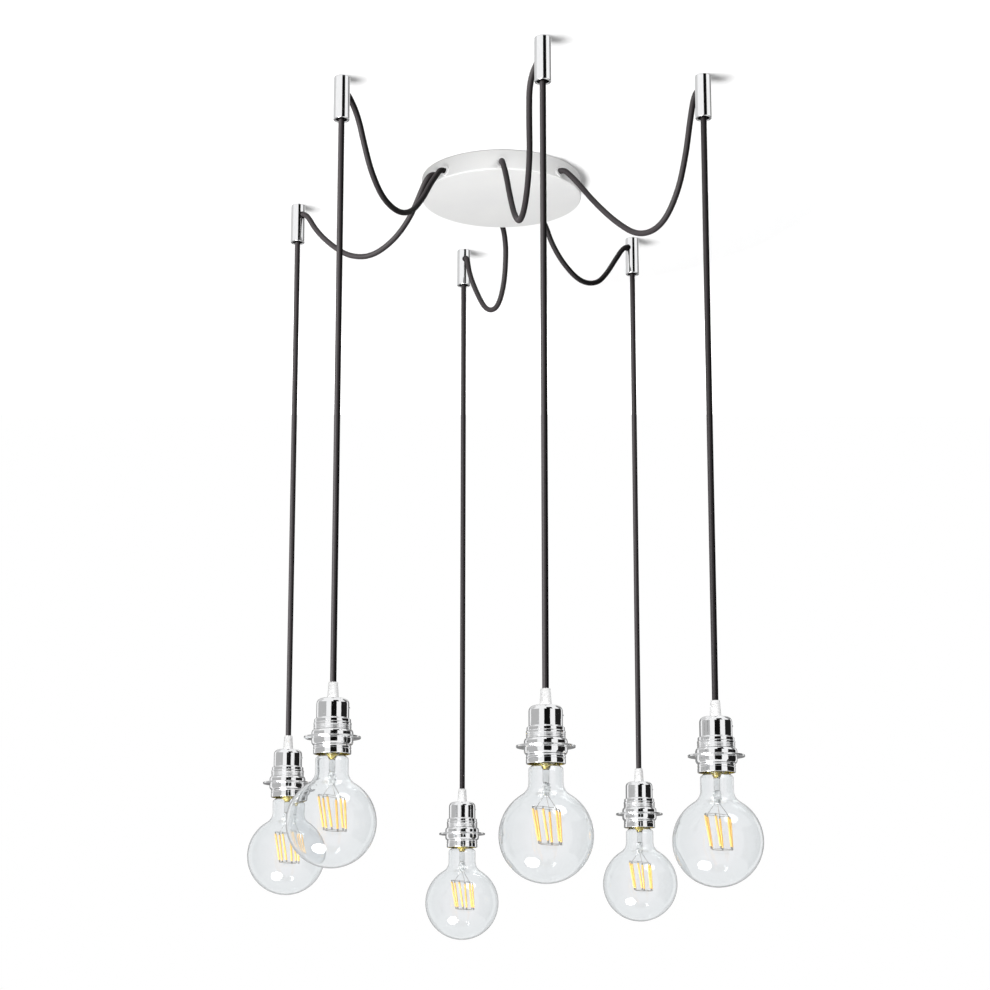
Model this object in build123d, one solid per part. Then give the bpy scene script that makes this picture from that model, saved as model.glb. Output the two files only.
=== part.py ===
from build123d import *
from math import cos, sin, radians, pi, tan
import os

os.makedirs("parts", exist_ok=True)

# Cluster pendant, in millimetres. The ceiling is the plane Z = 0, everything hangs below it,
# and the origin is the centre of the ceiling rose. The camera side is -Y.

# Where the six lamps hang: ceiling hook X and Y, drop to the bulb's centre, and the
# direction in degrees of the rose hole that feeds it
lamps = {
    "front": (43, -404, 851, -90),
    "front_right": (224, -308, 850, -45),
    "back_right": (178, 211, 868, 60),
    "back": (-51, 257, 890, 90),
    "back_left": (-264, 88, 840, 216),
    "front_left": (-179, -304, 830, 226),
}

# Textile cord
cord_r = 3.4
cord_area = pi * cord_r**2
slip = 0.3  # clearance of the cord in a bush or grip
seat = 0.1  # clearance of a screwed or pushed-in piece in its hole

# Ceiling rose
rose_r = 100.0
rose_h = 25.0
rose_wall = 1.2
rose_edge_r = 2.0
hole_z = -16.0  # height of the cord holes, on the wall
bush_r = 5.1
bush_flange_r = 6.4
bush_flange_t = 1.4
bush_inner_r = 6.1
bush_inner_l = 4.0
drill_reach = 10.0  # how far a drill starts inside the rose's wall and ends outside it

# Mounting bracket inside the rose
bar_w = 22.0
bar_t = 1.5
bar_half = rose_r - rose_wall - 0.9  # outer face of the bent tabs
tab_h = 18.0
ceiling_screw_r = 2.6
ceiling_screw_x = 35.0
feed_r = 6.0
feed_x = -18.0
cover_screw_r = 2.0
cover_screw_z = -11.0
cover_head_r = 3.5
cover_head_t = 2.2
block_size = (21.0, 22.0, 13.0)
block_x = 18.0
block_pitch = 6.5

# Ceiling hook: a plug on the ceiling and the chromed sleeve round it
sleeve_r = 9.0
sleeve_bore_r = 6.5
sleeve_l = 50.0
plug_gap = 0.05
plug_l = 8.5
plug_screw_r = 2.1
plug_sink_r = 4.2
entry_r = 4.7
entry_z = -14.2
fold_z = -13.4  # the cord's centre where it goes through the side hole

# Lampholder, measured up from its rim
rim_up = 71.5  # rim above the bulb's centre
barrel_r = 20.0
barrel_h = 33.0
barrel_wall = 1.4
neck_r = 15.9
neck_top = 44.0
cap_bead_r = 19.3
cap_r = 17.3
cap_wall = 1.2
cap_side_top = 48.6
cap_top = 59.0
cap_shoulder_r = 10.4
boss_r = 7.6
boss_h = 5.0
nipple_hole_r = 5.0
cap_screw_r = 1.5
cap_screws = ((-117, 41.0, 16.0, 17.1), (0, 49.0, 15.2, 17.9))  # direction, height, inner and outer end
grip_h = 17.3
grip_bottom_r = 6.0
grip_top_r = 5.0
grip_screw_r = 1.5
grip_screw_up = 8.5
spigot_l = 7.0
cord_end = 49.0

# Insulating insert under the barrel's top, with the screw shell that the bulb turns into
insert_gap = 0.2
insert_t = 2.1
insert_r = barrel_r - barrel_wall - insert_gap
insert_tube_r = 14.9
insert_bore_r = 13.6
insert_low = 3.0
insert_top = barrel_h - barrel_wall - insert_gap
insert_plate = insert_top - insert_t

# Shade rings on the barrel
ring_gap = 0.3
flange_r = 30.0
flange_t = 1.0
flange_z = 17.5  # the plane where the two rings meet
collar_h = 7.5
collar_r = 22.0
collar_tip_r = 21.1
ring_hole_r = 1.2
ring_hole_at = 23.6

# Bulb, measured from the rim, its screw cap upwards and its globe below
globe_r = 47.5
bulb_neck_r = 17.5
glass_t = 0.9
glass_top = 8.0
glass_top_r = 12.6
glass_seat = -0.5
neck_blend = 14.0
screw_cap_r = 13.2
screw_cap_wall = 0.5
screw_cap_low = 1.0
contact_r = 4.8
contact_gap = 0.3
contact_h = 6.0
contact_top = insert_plate - contact_gap
screw_cap_high = contact_top - contact_h
stem_r = 3.2
pinch_top = -19.0
pinch_low = -32.0
cage_top = -44.0
cage_low = -80.0
cage_top_r = 14.0
cage_low_r = 12.0
cage_twist = 5.0
cage_lean = 4.0  # how far the foot of the cage stands to +X of its top
filament_r = 0.9
filament_count = 6
wire = 0.8

# Routes of the six swags between their rose hole and their hook. Each middle point is
# (distance along the chord, Z, sideways), and the last pair is the point before the fold,
# as (distance out from the hook, Z).
swags = {
    "front": (
        [
            (10, -24, 0),
            (22, -43, 2),
            (42, -80, 4),
            (70, -114, 5),
            (112, -138, 5),
            (160, -132, 4),
            (207, -98, 1),
            (245, -66, -4),
        ],
        (26, -40),
    ),
    "front_right": (
        [
            (10, -25, 2),
            (28, -43, 3),
            (62, -78, 2),
            (104, -117, 4),
            (148, -147, 4),
            (194, -150, 2),
            (226, -120, 1),
            (243, -80, 0),
        ],
        (24, -42),
    ),
    "back_right": (
        [(8, -24, 1), (18, -44, 1), (38, -67, 0), (70, -85, 0), (102, -80, 0), (122, -60, 0)],
        (34, -38),
    ),
    "back": (
        [(8, -24, -7), (20, -46, -14), (40, -86, -18), (68, -110, -18), (100, -103, -13), (124, -70, -7)],
        (24, -40),
    ),
    "back_left": (
        [
            (6, -26, 4),
            (18, -44, 3),
            (37, -66, -1),
            (64, -88, -1),
            (100, -100, 0),
            (138, -91, 0),
            (170, -69, 0),
        ],
        (34, -42),
    ),
    "front_left": (
        [
            (9, -25, 0),
            (25, -43, -1),
            (46, -70, -1),
            (76, -98, -1),
            (112, -111, 0),
            (150, -107, 0),
            (178, -86, 0),
            (196, -59, 0),
        ],
        (38, -30),
    ),
}
# Radius and Z of the first points, inside the rose and through its wall, then distance out from
# the hook and Z of the last ones
stub_in = ((rose_r - 39, -10.5), (rose_r - 24, -12.4), (rose_r - 8.5, hole_z), (rose_r + 7, hole_z))
fold_out = ((sleeve_r + 6, fold_z), (0, fold_z), (-0.5, -30), (0, 3.7 - sleeve_l))


# Writes one node as a group of its separate solids.
def save(name, shapes):
    solids = []
    for shape in shapes:
        solids += list(shape.solids())
    node = Compound(children=solids) if len(solids) > 1 else solids[0]
    node.label = name
    export_step(node, f"parts/{name}.step")


# A solid of revolution about Z from a closed outline of (radius, height) points.
def turned(points):
    outline = Polyline(*[(r, 0, z) for r, z in points], close=True)
    return revolve(make_face(outline), Axis.Z)


# A round rod between two points.
def rod(start, end, r):
    a = Vector(*start)
    b = Vector(*end)
    return extrude(Plane(origin=a, z_dir=b - a) * Circle(r), (b - a).length)


# Turns a shape made along +X to a direction round the rose.
def radial(direction, shape):
    return Rot(0, 0, direction) * shape


# Ceiling rose and bracket
cord_holes = [direction for _, _, _, direction in lamps.values()]
wall_from = rose_r - drill_reach
wall_to = rose_r + drill_reach

cover = Pos(0, 0, -rose_h) * Cylinder(rose_r, rose_h, align=(Align.CENTER, Align.CENTER, Align.MIN))
cover = fillet(cover.edges().sort_by(Axis.Z)[0], rose_edge_r)
hollow = Cylinder(rose_r - rose_wall, rose_h, align=(Align.CENTER, Align.CENTER, Align.MIN))
hollow = fillet(hollow.edges().sort_by(Axis.Z)[0], rose_edge_r - rose_wall)
cover -= Pos(0, 0, rose_wall - rose_h) * hollow
for direction in cord_holes:
    cover -= radial(direction, rod((wall_from, 0, hole_z), (wall_to, 0, hole_z), bush_r + seat))
for direction in (0, 180):
    start = (wall_from, 0, cover_screw_z)
    end = (wall_to, 0, cover_screw_z)
    cover -= radial(direction, rod(start, end, cover_screw_r + seat))
save("rose_cover", [cover])

# The bar lies on the ceiling and its two ends are bent down to take the cover screws.
bar = Pos(0, 0, -bar_t / 2) * Box(2 * bar_half, bar_w, bar_t)
for side in (-1, 1):
    bar += Pos(side * (bar_half - bar_t / 2), 0, -tab_h / 2) * Box(bar_t, bar_w, tab_h)
    start = (side * wall_from, 0, cover_screw_z)
    end = (side * wall_to, 0, cover_screw_z)
    bar -= rod(start, end, cover_screw_r + plug_gap)
    bar -= Pos(side * ceiling_screw_x, 0, 0) * Cylinder(ceiling_screw_r, 4 * bar_t)
bar -= Pos(feed_x, 0, 0) * Cylinder(feed_r, 4 * bar_t)
bar = fillet(bar.edges().filter_by(Axis.Y).group_by(Axis.Z)[-1], bar_t * 0.8)
save("rose_bracket", [bar])

cover_screws = []
for direction in (0, 180):
    shank = rod((rose_r - 8, 0, cover_screw_z), (rose_r + 0.06, 0, cover_screw_z), cover_screw_r)
    head = rod(
        (rose_r + 0.06, 0, cover_screw_z), (rose_r + 0.06 + cover_head_t, 0, cover_screw_z), cover_head_r
    )
    head = fillet(head.edges().sort_by(Axis.X)[-1], 1.2)
    slot = Pos(rose_r + cover_head_t, 0, cover_screw_z) * Box(1.2, 2 * cover_head_r, 0.9)
    cover_screws.append(radial(direction, shank + head - slot))
save("cover_screws", cover_screws)

# Three-pole block that joins the cores of the six cords to the supply.
bx, by, bz = block_size
block = Pos(block_x, 0, -bar_t - bz / 2) * Box(bx, by, bz)
block = chamfer(block.edges().filter_by(Axis.Z), 1.0)
for pole in (-1, 0, 1):
    x = block_x + pole * block_pitch
    block -= rod((x, -by, -bar_t - bz * 0.45), (x, by, -bar_t - bz * 0.45), 2.2)
    for row in (-1, 1):
        block -= rod((x, row * by / 4, -bar_t - bz), (x, row * by / 4, -bar_t - bz * 0.62), 1.7)
save("terminal_block", [block])

# Each bush grips the wall: its outer flange and its inner collar follow the wall's curve.
wall_out = Pos(0, 0, hole_z) * Cylinder(rose_r + plug_gap, 2 * rose_h)
wall_in = Pos(0, 0, hole_z) * Cylinder(rose_r - rose_wall - plug_gap, 2 * rose_h)
bushes = []
for direction in cord_holes:
    flange = rod((rose_r - 5, 0, hole_z), (rose_r + bush_flange_t, 0, hole_z), bush_flange_r) - wall_out
    inner = rod((rose_r - rose_wall - bush_inner_l, 0, hole_z), (rose_r, 0, hole_z), bush_inner_r)
    inner = inner & wall_in
    barrel = rod(
        (rose_r - rose_wall - bush_inner_l, 0, hole_z), (rose_r + bush_flange_t, 0, hole_z), bush_r
    )
    bush = flange + inner + barrel
    bush -= rod((wall_from, 0, hole_z), (wall_to, 0, hole_z), cord_r + slip)
    bushes.append(radial(direction, bush))
save("cord_bushes", bushes)

# Ceiling hooks and swags
plug = turned(
    [
        (plug_screw_r, 0),
        (sleeve_bore_r - plug_gap, 0),
        (sleeve_bore_r - plug_gap, -plug_l),
        (plug_sink_r, -plug_l),
        (plug_screw_r, -plug_l + plug_sink_r - plug_screw_r),
    ]
)
tube = turned(
    [
        (sleeve_bore_r, 0),
        (sleeve_r, 0),
        (sleeve_r, 0.6 - sleeve_l),
        (sleeve_r - 0.6, -sleeve_l),
        (sleeve_bore_r + 0.8, -sleeve_l),
        (sleeve_bore_r, 0.8 - sleeve_l),
    ]
)

plugs = []
for name, (x, y, drop, direction) in lamps.items():
    hook = Vector(x, y, 0)
    out = Vector(cos(radians(direction)), sin(radians(direction)), 0)
    start = out * stub_in[-1][0]
    chord = (hook - start).normalized()
    side = Vector(-chord.Y, chord.X, 0)

    plugs.append(Pos(x, y, 0) * plug)
    entry = hook + Vector(0, 0, entry_z)
    side_hole = rod(entry, entry - chord * 2 * sleeve_r, entry_r)
    save(f"hook_sleeve_{name}", [Pos(x, y, 0) * tube - side_hole])

    middle, before_fold = swags[name]
    points = [out * r + Vector(0, 0, z) for r, z in stub_in]
    points += [start + chord * along + side * off + Vector(0, 0, z) for along, z, off in middle]
    points += [hook - chord * r + Vector(0, 0, z) for r, z in (before_fold, *fold_out)]
    radii = []
    for before, here, after in zip(points, points[1:], points[2:]):
        turn = (here - before).get_angle(after - here)
        shorter = min((here - before).length, (after - here).length)
        radii.append(0.45 * shorter / tan(radians(turn) / 2))
    path = FilletPolyline(*points, radius=radii)
    swag = sweep(Plane(origin=points[0], z_dir=points[1] - points[0]) * Circle(cord_r), path=path)
    expected = cord_area * path.length
    print(
        f"swag {name}: length {path.length:.0f} mm, volume {swag.volume:.0f} of {expected:.0f},",
        "radii",
        [round(r) for r in radii],
    )
    save(f"swag_cord_{name}", [swag])
save("hook_plugs", plugs)

# One lamp, about its own axis
# Cord grip: a clear cone with a clamping screw, on a spigot that screws into the cap.
grip = turned(
    [
        (cord_r + slip, cap_top - spigot_l),
        (nipple_hole_r - seat, cap_top - spigot_l),
        (nipple_hole_r - seat, cap_top),
        (grip_bottom_r, cap_top),
        (grip_bottom_r, cap_top + 1.5),
        (grip_top_r, cap_top + grip_h - 0.8),
        (grip_top_r - 0.8, cap_top + grip_h),
        (cord_r + slip, cap_top + grip_h),
    ]
)
screw_z = cap_top + grip_screw_up
grip -= rod((0, 0, screw_z), (0, -10, screw_z), grip_screw_r + seat)
grip_screw = rod((0, -cord_r - seat, screw_z), (0, -grip_bottom_r + 0.1, screw_z), grip_screw_r)
grip_screw -= Pos(0, -grip_bottom_r, screw_z) * Box(2 * grip_screw_r, 1.4, 0.6)

# Domed cap: bead at its foot, straight side, round shoulder, and a boss for the cord grip.
k = cos(radians(45))
mid_out = (cap_r - cap_shoulder_r * (1 - k), cap_side_top + cap_shoulder_r * k)
inner_r = cap_r - cap_wall
inner_shoulder = cap_shoulder_r - cap_wall
mid_in = (inner_r - inner_shoulder * (1 - k), cap_side_top + inner_shoulder * k)
boss_low = cap_top - cap_wall - boss_h
top_in = cap_side_top + inner_shoulder


# A point of an outline in the XZ plane.
def at(r, z):
    return Vector(r, 0, z)


cap_outline = [
    Line(at(nipple_hole_r, boss_low), at(nipple_hole_r, cap_top)),
    Line(at(nipple_hole_r, cap_top), at(cap_r - cap_shoulder_r, cap_top)),
    ThreePointArc(at(cap_r - cap_shoulder_r, cap_top), at(*mid_out), at(cap_r, cap_side_top)),
    Line(at(cap_r, cap_side_top), at(cap_r, barrel_h + 4.6)),
    Line(at(cap_r, barrel_h + 4.6), at(cap_bead_r - 0.6, barrel_h + 3.4)),
    ThreePointArc(
        at(cap_bead_r - 0.6, barrel_h + 3.4), at(cap_bead_r, barrel_h + 2.0), at(cap_bead_r - 0.5, barrel_h)
    ),
    Line(at(cap_bead_r - 0.5, barrel_h), at(inner_r, barrel_h)),
    Line(at(inner_r, barrel_h), at(inner_r, cap_side_top)),
    ThreePointArc(at(inner_r, cap_side_top), at(*mid_in), at(boss_r, top_in)),
    Line(at(boss_r, top_in), at(boss_r, boss_low)),
    Line(at(boss_r, boss_low), at(nipple_hole_r, boss_low)),
]
cap = revolve(make_face(cap_outline), Axis.Z)
locks = []
for direction, height, inner_end, outer_end in cap_screws:
    cap -= radial(direction, rod((cap_r - 7, 0, height), (cap_r + 3, 0, height), cap_screw_r + seat))
    lock = rod((inner_end, 0, height), (outer_end, 0, height), cap_screw_r)
    lock -= Pos(outer_end, 0, height) * Box(1.0, 2 * cap_screw_r, 0.5)
    locks.append(radial(direction, lock))

# Barrel with its narrower neck, which stands inside the cap.
inside_r = barrel_r - barrel_wall
shell = turned(
    [
        (inside_r + 0.5, 0),
        (barrel_r - 0.5, 0),
        (barrel_r, 0.5),
        (barrel_r, barrel_h),
        (neck_r, barrel_h),
        (neck_r, neck_top),
        (neck_r - 1.1, neck_top),
        (neck_r - 1.1, barrel_h - barrel_wall),
        (inside_r, barrel_h - barrel_wall),
        (inside_r, 0.5),
    ]
)

# Insert: a disc across the barrel that carries the contact, and the screw shell under it.
insert = turned(
    [
        (0, insert_plate),
        (insert_bore_r, insert_plate),
        (insert_bore_r, insert_low),
        (insert_tube_r, insert_low),
        (insert_tube_r, insert_plate - 3),
        (insert_r, insert_plate - 3),
        (insert_r, insert_top),
        (0, insert_top),
    ]
)


# A shade ring with its flange on the meeting plane and its collar up (1) or down (-1).
def ring(up):
    bore = barrel_r + ring_gap
    plane = flange_z + up * seat / 4
    outline = [
        (bore, plane),
        (flange_r, plane),
        (flange_r, plane + up * flange_t),
        (collar_r, plane + up * flange_t),
        (collar_r, plane + up * (collar_h - 2.2)),
        (collar_tip_r, plane + up * collar_h),
        (bore, plane + up * collar_h),
    ]
    shape = turned(outline)
    for side in (-1, 1):
        hole_x = side * ring_hole_at
        shape -= rod((hole_x, 0, flange_z - collar_h), (hole_x, 0, flange_z + collar_h), ring_hole_r)
    return shape


rings = [ring(1), ring(-1)]

# Globe: sphere and neck joined by a round fillet, as one thin wall open at the screw cap.
glass_c = -rim_up


# The lines of one side of the glass, from the bottom of the globe to the open top.
def glass_side(r_globe, r_neck, r_top, blend):
    reach = ((r_globe + blend) ** 2 - (r_neck + blend) ** 2) ** 0.5
    share = r_globe / (r_globe + blend)
    touch = at((r_neck + blend) * share, glass_c + reach * share)
    centre = at(r_neck + blend, glass_c + reach)
    neck_low = at(r_neck, glass_c + reach)
    mid = centre + ((touch - centre).normalized() + Vector(-1, 0, 0)).normalized() * blend
    return [
        ThreePointArc(at(0, glass_c - r_globe), at(r_globe, glass_c), touch),
        ThreePointArc(touch, mid, neck_low),
        Line(neck_low, at(r_neck, glass_seat - 4)),
        Line(at(r_neck, glass_seat - 4), at(r_top, glass_seat)),
        Line(at(r_top, glass_seat), at(r_top, glass_top)),
    ]


outer = glass_side(globe_r, bulb_neck_r, glass_top_r, neck_blend)
inner = glass_side(globe_r - glass_t, bulb_neck_r - glass_t, glass_top_r - glass_t, neck_blend + glass_t)
rim_line = Line(at(glass_top_r, glass_top), at(glass_top_r - glass_t, glass_top))
foot_line = Line(at(0, glass_c - globe_r), at(0, glass_c - globe_r + glass_t))
glass = revolve(make_face(outer + inner + [rim_line, foot_line]), Axis.Z)

# Screw cap of the bulb, with its contact button.
screw_cap = turned(
    [
        (screw_cap_r - screw_cap_wall, screw_cap_low),
        (screw_cap_r, screw_cap_low),
        (screw_cap_r, screw_cap_high),
        (contact_r, contact_top - 2.5),
        (contact_r, contact_top - 0.6),
        (contact_r - 1.0, contact_top),
        (0, contact_top),
        (0, contact_top - 3.5),
        (contact_r, contact_top - 3.5),
        (screw_cap_r - screw_cap_wall, screw_cap_high - 1.0),
    ]
)

# Mount inside the globe: flared foot, glass stem, flat pinch, and the wire that holds the cage.
mount = turned(
    [
        (0, glass_top - 1.0),
        (glass_top_r - glass_t - 0.2, glass_top - 1.0),
        (glass_top_r - glass_t - 0.2, glass_top - 2.0),
        (stem_r, glass_top - 9.0),
        (stem_r, pinch_top - 0.5),
        (0, pinch_top - 0.5),
    ]
)
mount += Pos(0, 0, (pinch_top + pinch_low) / 2) * Box(9.0, 3.4, pinch_top - pinch_low)
mount += Pos(0, 0, (pinch_low + cage_low) / 2) * Box(2 * wire, 2 * wire, pinch_low - cage_low + wire)
filaments = []
for index in range(filament_count):
    top_turn = radians(index * 360 / filament_count)
    low_turn = top_turn + radians(cage_twist)
    for turn, reach, height, hub in (
        (top_turn, cage_top_r, cage_top, 0),
        (low_turn, cage_low_r, cage_low, cage_lean),
    ):
        arm = Pos(reach / 2, 0, height) * Box(reach, wire, wire)
        mount += Pos(hub, 0, 0) * Rot(0, 0, turn * 180 / pi) * arm
    top = Vector(cage_top_r * cos(top_turn), cage_top_r * sin(top_turn), cage_top - wire / 2 - 0.25)
    low = Vector(
        cage_lean + cage_low_r * cos(low_turn), cage_low_r * sin(low_turn), cage_low + wire / 2 + 0.25
    )
    filaments.append(rod(top, low, filament_r))

# The six lamps in place
for name, (x, y, drop, _) in lamps.items():
    rim = rim_up - drop
    place = Pos(x, y, rim)
    top = -sleeve_l
    low = rim + cord_end
    cord = Pos(x, y, low) * Cylinder(cord_r, top - low, align=(Align.CENTER, Align.CENTER, Align.MIN))
    cord += Pos(x, y, top) * Sphere(cord_r)
    print(f"hanging cord {name}: {top - low:.0f} mm")
    save(f"hang_cord_{name}", [cord])
    save(f"cord_grip_{name}", [place * grip, place * grip_screw])
    save(f"holder_cap_{name}", [place * cap] + [place * lock for lock in locks])
    save(f"holder_shell_{name}", [place * shell, place * insert])
    save(f"shade_rings_{name}", [place * shape for shape in rings])
    save(f"bulb_glass_{name}", [place * glass])
    save(f"bulb_core_{name}", [place * screw_cap, place * mount] + [place * f for f in filaments])
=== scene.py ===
from math import cos, pi, radians, sin

import bmesh
import bpy
import numpy as np
from mathutils import Matrix, Vector


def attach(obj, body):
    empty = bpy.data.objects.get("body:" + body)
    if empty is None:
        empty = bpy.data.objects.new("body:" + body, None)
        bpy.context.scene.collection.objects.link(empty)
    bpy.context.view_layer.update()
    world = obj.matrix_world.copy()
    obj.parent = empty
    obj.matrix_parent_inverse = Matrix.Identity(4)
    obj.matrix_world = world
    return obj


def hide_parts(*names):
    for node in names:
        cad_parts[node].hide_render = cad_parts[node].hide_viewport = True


# Cluster pendant: a ceiling rose with six textile cords. Each cord goes over a chromed ceiling
# hook and down to a screw lampholder with a clear globe bulb. Shapes are worked out in
# millimetres and scaled when they become a mesh. The ceiling is the plane Z = 0.

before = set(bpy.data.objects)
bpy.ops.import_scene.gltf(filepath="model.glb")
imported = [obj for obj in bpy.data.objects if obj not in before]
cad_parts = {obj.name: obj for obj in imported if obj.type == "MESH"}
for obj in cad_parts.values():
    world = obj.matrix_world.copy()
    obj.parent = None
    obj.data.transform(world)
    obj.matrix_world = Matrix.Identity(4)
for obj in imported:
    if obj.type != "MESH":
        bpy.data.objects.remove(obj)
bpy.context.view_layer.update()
scene = bpy.context.scene
mm = 0.001
print("frame:", len(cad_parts), "nodes")

# Ceiling hook X and Y, drop to the bulb's centre, direction of the rose hole in degrees
lamps = {
    "front": (43, -404, 851, -90),
    "front_right": (224, -308, 850, -45),
    "back_right": (178, 211, 868, 60),
    "back": (-51, 257, 890, 90),
    "back_left": (-264, 88, 840, 216),
    "front_left": (-179, -304, 830, 226),
}
rimUp = 71.5  # rim of a holder above the centre of its bulb


# sRGB hex to linear colour.
def colour(text):
    parts = [int(text[i : i + 2], 16) / 255 for i in (1, 3, 5)]
    return [p / 12.92 if p <= 0.04045 else ((p + 0.055) / 1.055) ** 2.4 for p in parts] + [1.0]


# Adds a node. A socket given as an input is linked, any other value is set.
def add(tree, kind, inputs=None, **settings):
    made = tree.nodes.new(kind)
    for key, value in settings.items():
        setattr(made, key, value)
    for key, value in (inputs or {}).items():
        if isinstance(value, bpy.types.NodeSocket):
            tree.links.new(value, made.inputs[key])
        else:
            made.inputs[key].default_value = value
    return made


# A material with an empty tree.
def newMaterial(name):
    material = bpy.data.materials.new(name)
    material.use_nodes = True
    material.node_tree.nodes.clear()
    return material, material.node_tree


# Links a surface shader to the output.
def finishMaterial(tree, shader):
    add(tree, "ShaderNodeOutputMaterial", {"Surface": shader.outputs[0]})


# Noise on object coordinates whose grains are about `size` millimetres, stretched per axis.
def grain(tree, size, stretch=(1, 1, 1), detail=2.0):
    place = add(tree, "ShaderNodeTexCoord")
    scaled = add(
        tree,
        "ShaderNodeMapping",
        {"Vector": place.outputs["Object"], "Scale": [s / (size * mm) for s in stretch]},
    )
    return add(
        tree,
        "ShaderNodeTexNoise",
        {"Vector": scaled.outputs["Vector"], "Scale": 1.0, "Detail": detail},
    ).outputs["Fac"]


# Two colours mixed by a factor between two of its values.
def tones(tree, factor, first, second, low=0.35, high=0.65):
    ramp = add(tree, "ShaderNodeValToRGB", {"Fac": factor})
    ramp.color_ramp.elements[0].position = low
    ramp.color_ramp.elements[1].position = high
    ramp.color_ramp.elements[0].color = colour(first)
    ramp.color_ramp.elements[1].color = colour(second)
    return ramp.outputs["Color"]


# A factor spread over a range of numbers.
def spread(tree, factor, low, high):
    return add(
        tree, "ShaderNodeMapRange", {"Value": factor, "To Min": low, "To Max": high}
    ).outputs["Result"]


# Relief of `depth` millimetres from a height.
def relief(tree, height, depth, strength=1.0):
    return add(
        tree,
        "ShaderNodeBump",
        {"Height": height, "Distance": depth * mm, "Strength": strength},
    ).outputs["Normal"]


# Powder-coated steel: an even white with the coat's fine orange peel, satin.
def powderCoat():
    material, tree = newMaterial("powderCoatedSteel")
    peel = grain(tree, 1.1)
    soft = grain(tree, 60)
    shader = add(
        tree,
        "ShaderNodeBsdfPrincipled",
        {
            "Base Color": tones(tree, soft, "#d7d7d6", "#d3d3d3", 0.3, 0.7),
            "Roughness": spread(tree, peel, 0.38, 0.5),
            "Normal": relief(tree, peel, 0.02),
        },
    )
    finishMaterial(tree, shader)
    return material


# Zinc-plated steel strip: grey metal with the rolling's lines along the strip, half dull.
def zincPlate():
    material, tree = newMaterial("zincPlatedSteel")
    rolled = grain(tree, 0.6, (0.03, 1, 1), 4.0)
    cloud = grain(tree, 9)
    shader = add(
        tree,
        "ShaderNodeBsdfPrincipled",
        {
            "Base Color": tones(tree, cloud, "#b4b7bb", "#c9cbcd"),
            "Metallic": 1.0,
            "Roughness": spread(tree, rolled, 0.26, 0.46),
            "Normal": relief(tree, rolled, 0.02),
        },
    )
    finishMaterial(tree, shader)
    return material


# Chrome plate over drawn brass: mirror bright, its reflections bent a little by the draw and
# dulled by hair scratches.
def chromePlate():
    material, tree = newMaterial("chromePlatedBrass")
    waves = grain(tree, 7, detail=1.0)
    scratches = grain(tree, 0.35, (1, 1, 0.06), 3.0)
    shader = add(
        tree,
        "ShaderNodeBsdfPrincipled",
        {
            "Base Color": tones(tree, scratches, "#eeeff0", "#f6f6f7"),
            "Metallic": 1.0,
            "Roughness": spread(tree, scratches, 0.03, 0.1),
            "Normal": relief(tree, waves, 0.035),
        },
    )
    finishMaterial(tree, shader)
    return material


# Bare drawn brass, as inside a holder and on a screw shell: olive gold, dulled in patches.
def drawnBrass():
    material, tree = newMaterial("drawnBrass")
    patches = grain(tree, 3.5, detail=3.0)
    shader = add(
        tree,
        "ShaderNodeBsdfPrincipled",
        {
            "Base Color": tones(tree, patches, "#8f8038", "#b5a457"),
            "Metallic": 1.0,
            "Roughness": spread(tree, patches, 0.22, 0.42),
            "Normal": relief(tree, patches, 0.02),
        },
    )
    finishMaterial(tree, shader)
    return material


# Nickel wire of a bulb's frame: thin grey metal, a little oxidised.
def nickelWire():
    material, tree = newMaterial("nickelWire")
    spots = grain(tree, 0.8)
    shader = add(
        tree,
        "ShaderNodeBsdfPrincipled",
        {
            "Base Color": tones(tree, spots, "#8d8d8b", "#b9b9b6"),
            "Metallic": 1.0,
            "Roughness": spread(tree, spots, 0.25, 0.4),
        },
    )
    finishMaterial(tree, shader)
    return material


# Braided rayon sleeve of the cord: black, silky, in a diamond braid of threads, with painted
# shade in the grooves between threads and a painted highlight on their crests. The UV map runs in
# millimetres along the cord and in turns round it. The real threads are 0.9 mm wide and are drawn
# half as wide again so that the braid shows.
def braidedRayon():
    material, tree = newMaterial("braidedRayon")
    braid = {"aroundCount": 14, "lengthEach": 2.6}
    place = add(tree, "ShaderNodeTexCoord")
    split = add(tree, "ShaderNodeSeparateXYZ", {0: place.outputs["UV"]})

    def maths(operation, *values):
        return add(
            tree, "ShaderNodeMath", dict(enumerate(values)), operation=operation
        ).outputs["Value"]

    along = maths("MULTIPLY", split.outputs["X"], 2 * pi / braid["lengthEach"])
    around = maths("MULTIPLY", split.outputs["Y"], 2 * pi * braid["aroundCount"] / 2)
    right = maths("SINE", maths("ADD", along, around))
    left = maths("SINE", maths("SUBTRACT", along, around))
    threads = maths("MULTIPLY", maths("ADD", maths("MULTIPLY", right, left), 1.0), 0.5)
    # Lighter in random patches about 14 mm across.
    patchNoise = grain(tree, 14)
    # Painted shade and highlight: the braid's colour is darker in the grooves between threads and
    # lighter on their crests.
    paintedBraidShade = tones(tree, threads, "#0b090a", "#1c191a", 0.15, 0.85)
    patchedBraid = add(
        tree,
        "ShaderNodeMix",
        {"Factor": spread(tree, patchNoise, 0.0, 0.35), "A": paintedBraidShade, "B": colour("#1d1b1c")},
        data_type="RGBA",
    )
    shader = add(
        tree,
        "ShaderNodeBsdfPrincipled",
        {
            "Base Color": patchedBraid.outputs[2],
            "Roughness": spread(tree, threads, 0.62, 0.5),
            "Diffuse Roughness": 0.6,
            "Specular IOR Level": 0.08,
            "Normal": relief(tree, threads, 0.22, 0.8),
        },
    )
    finishMaterial(tree, shader)
    return material


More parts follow.
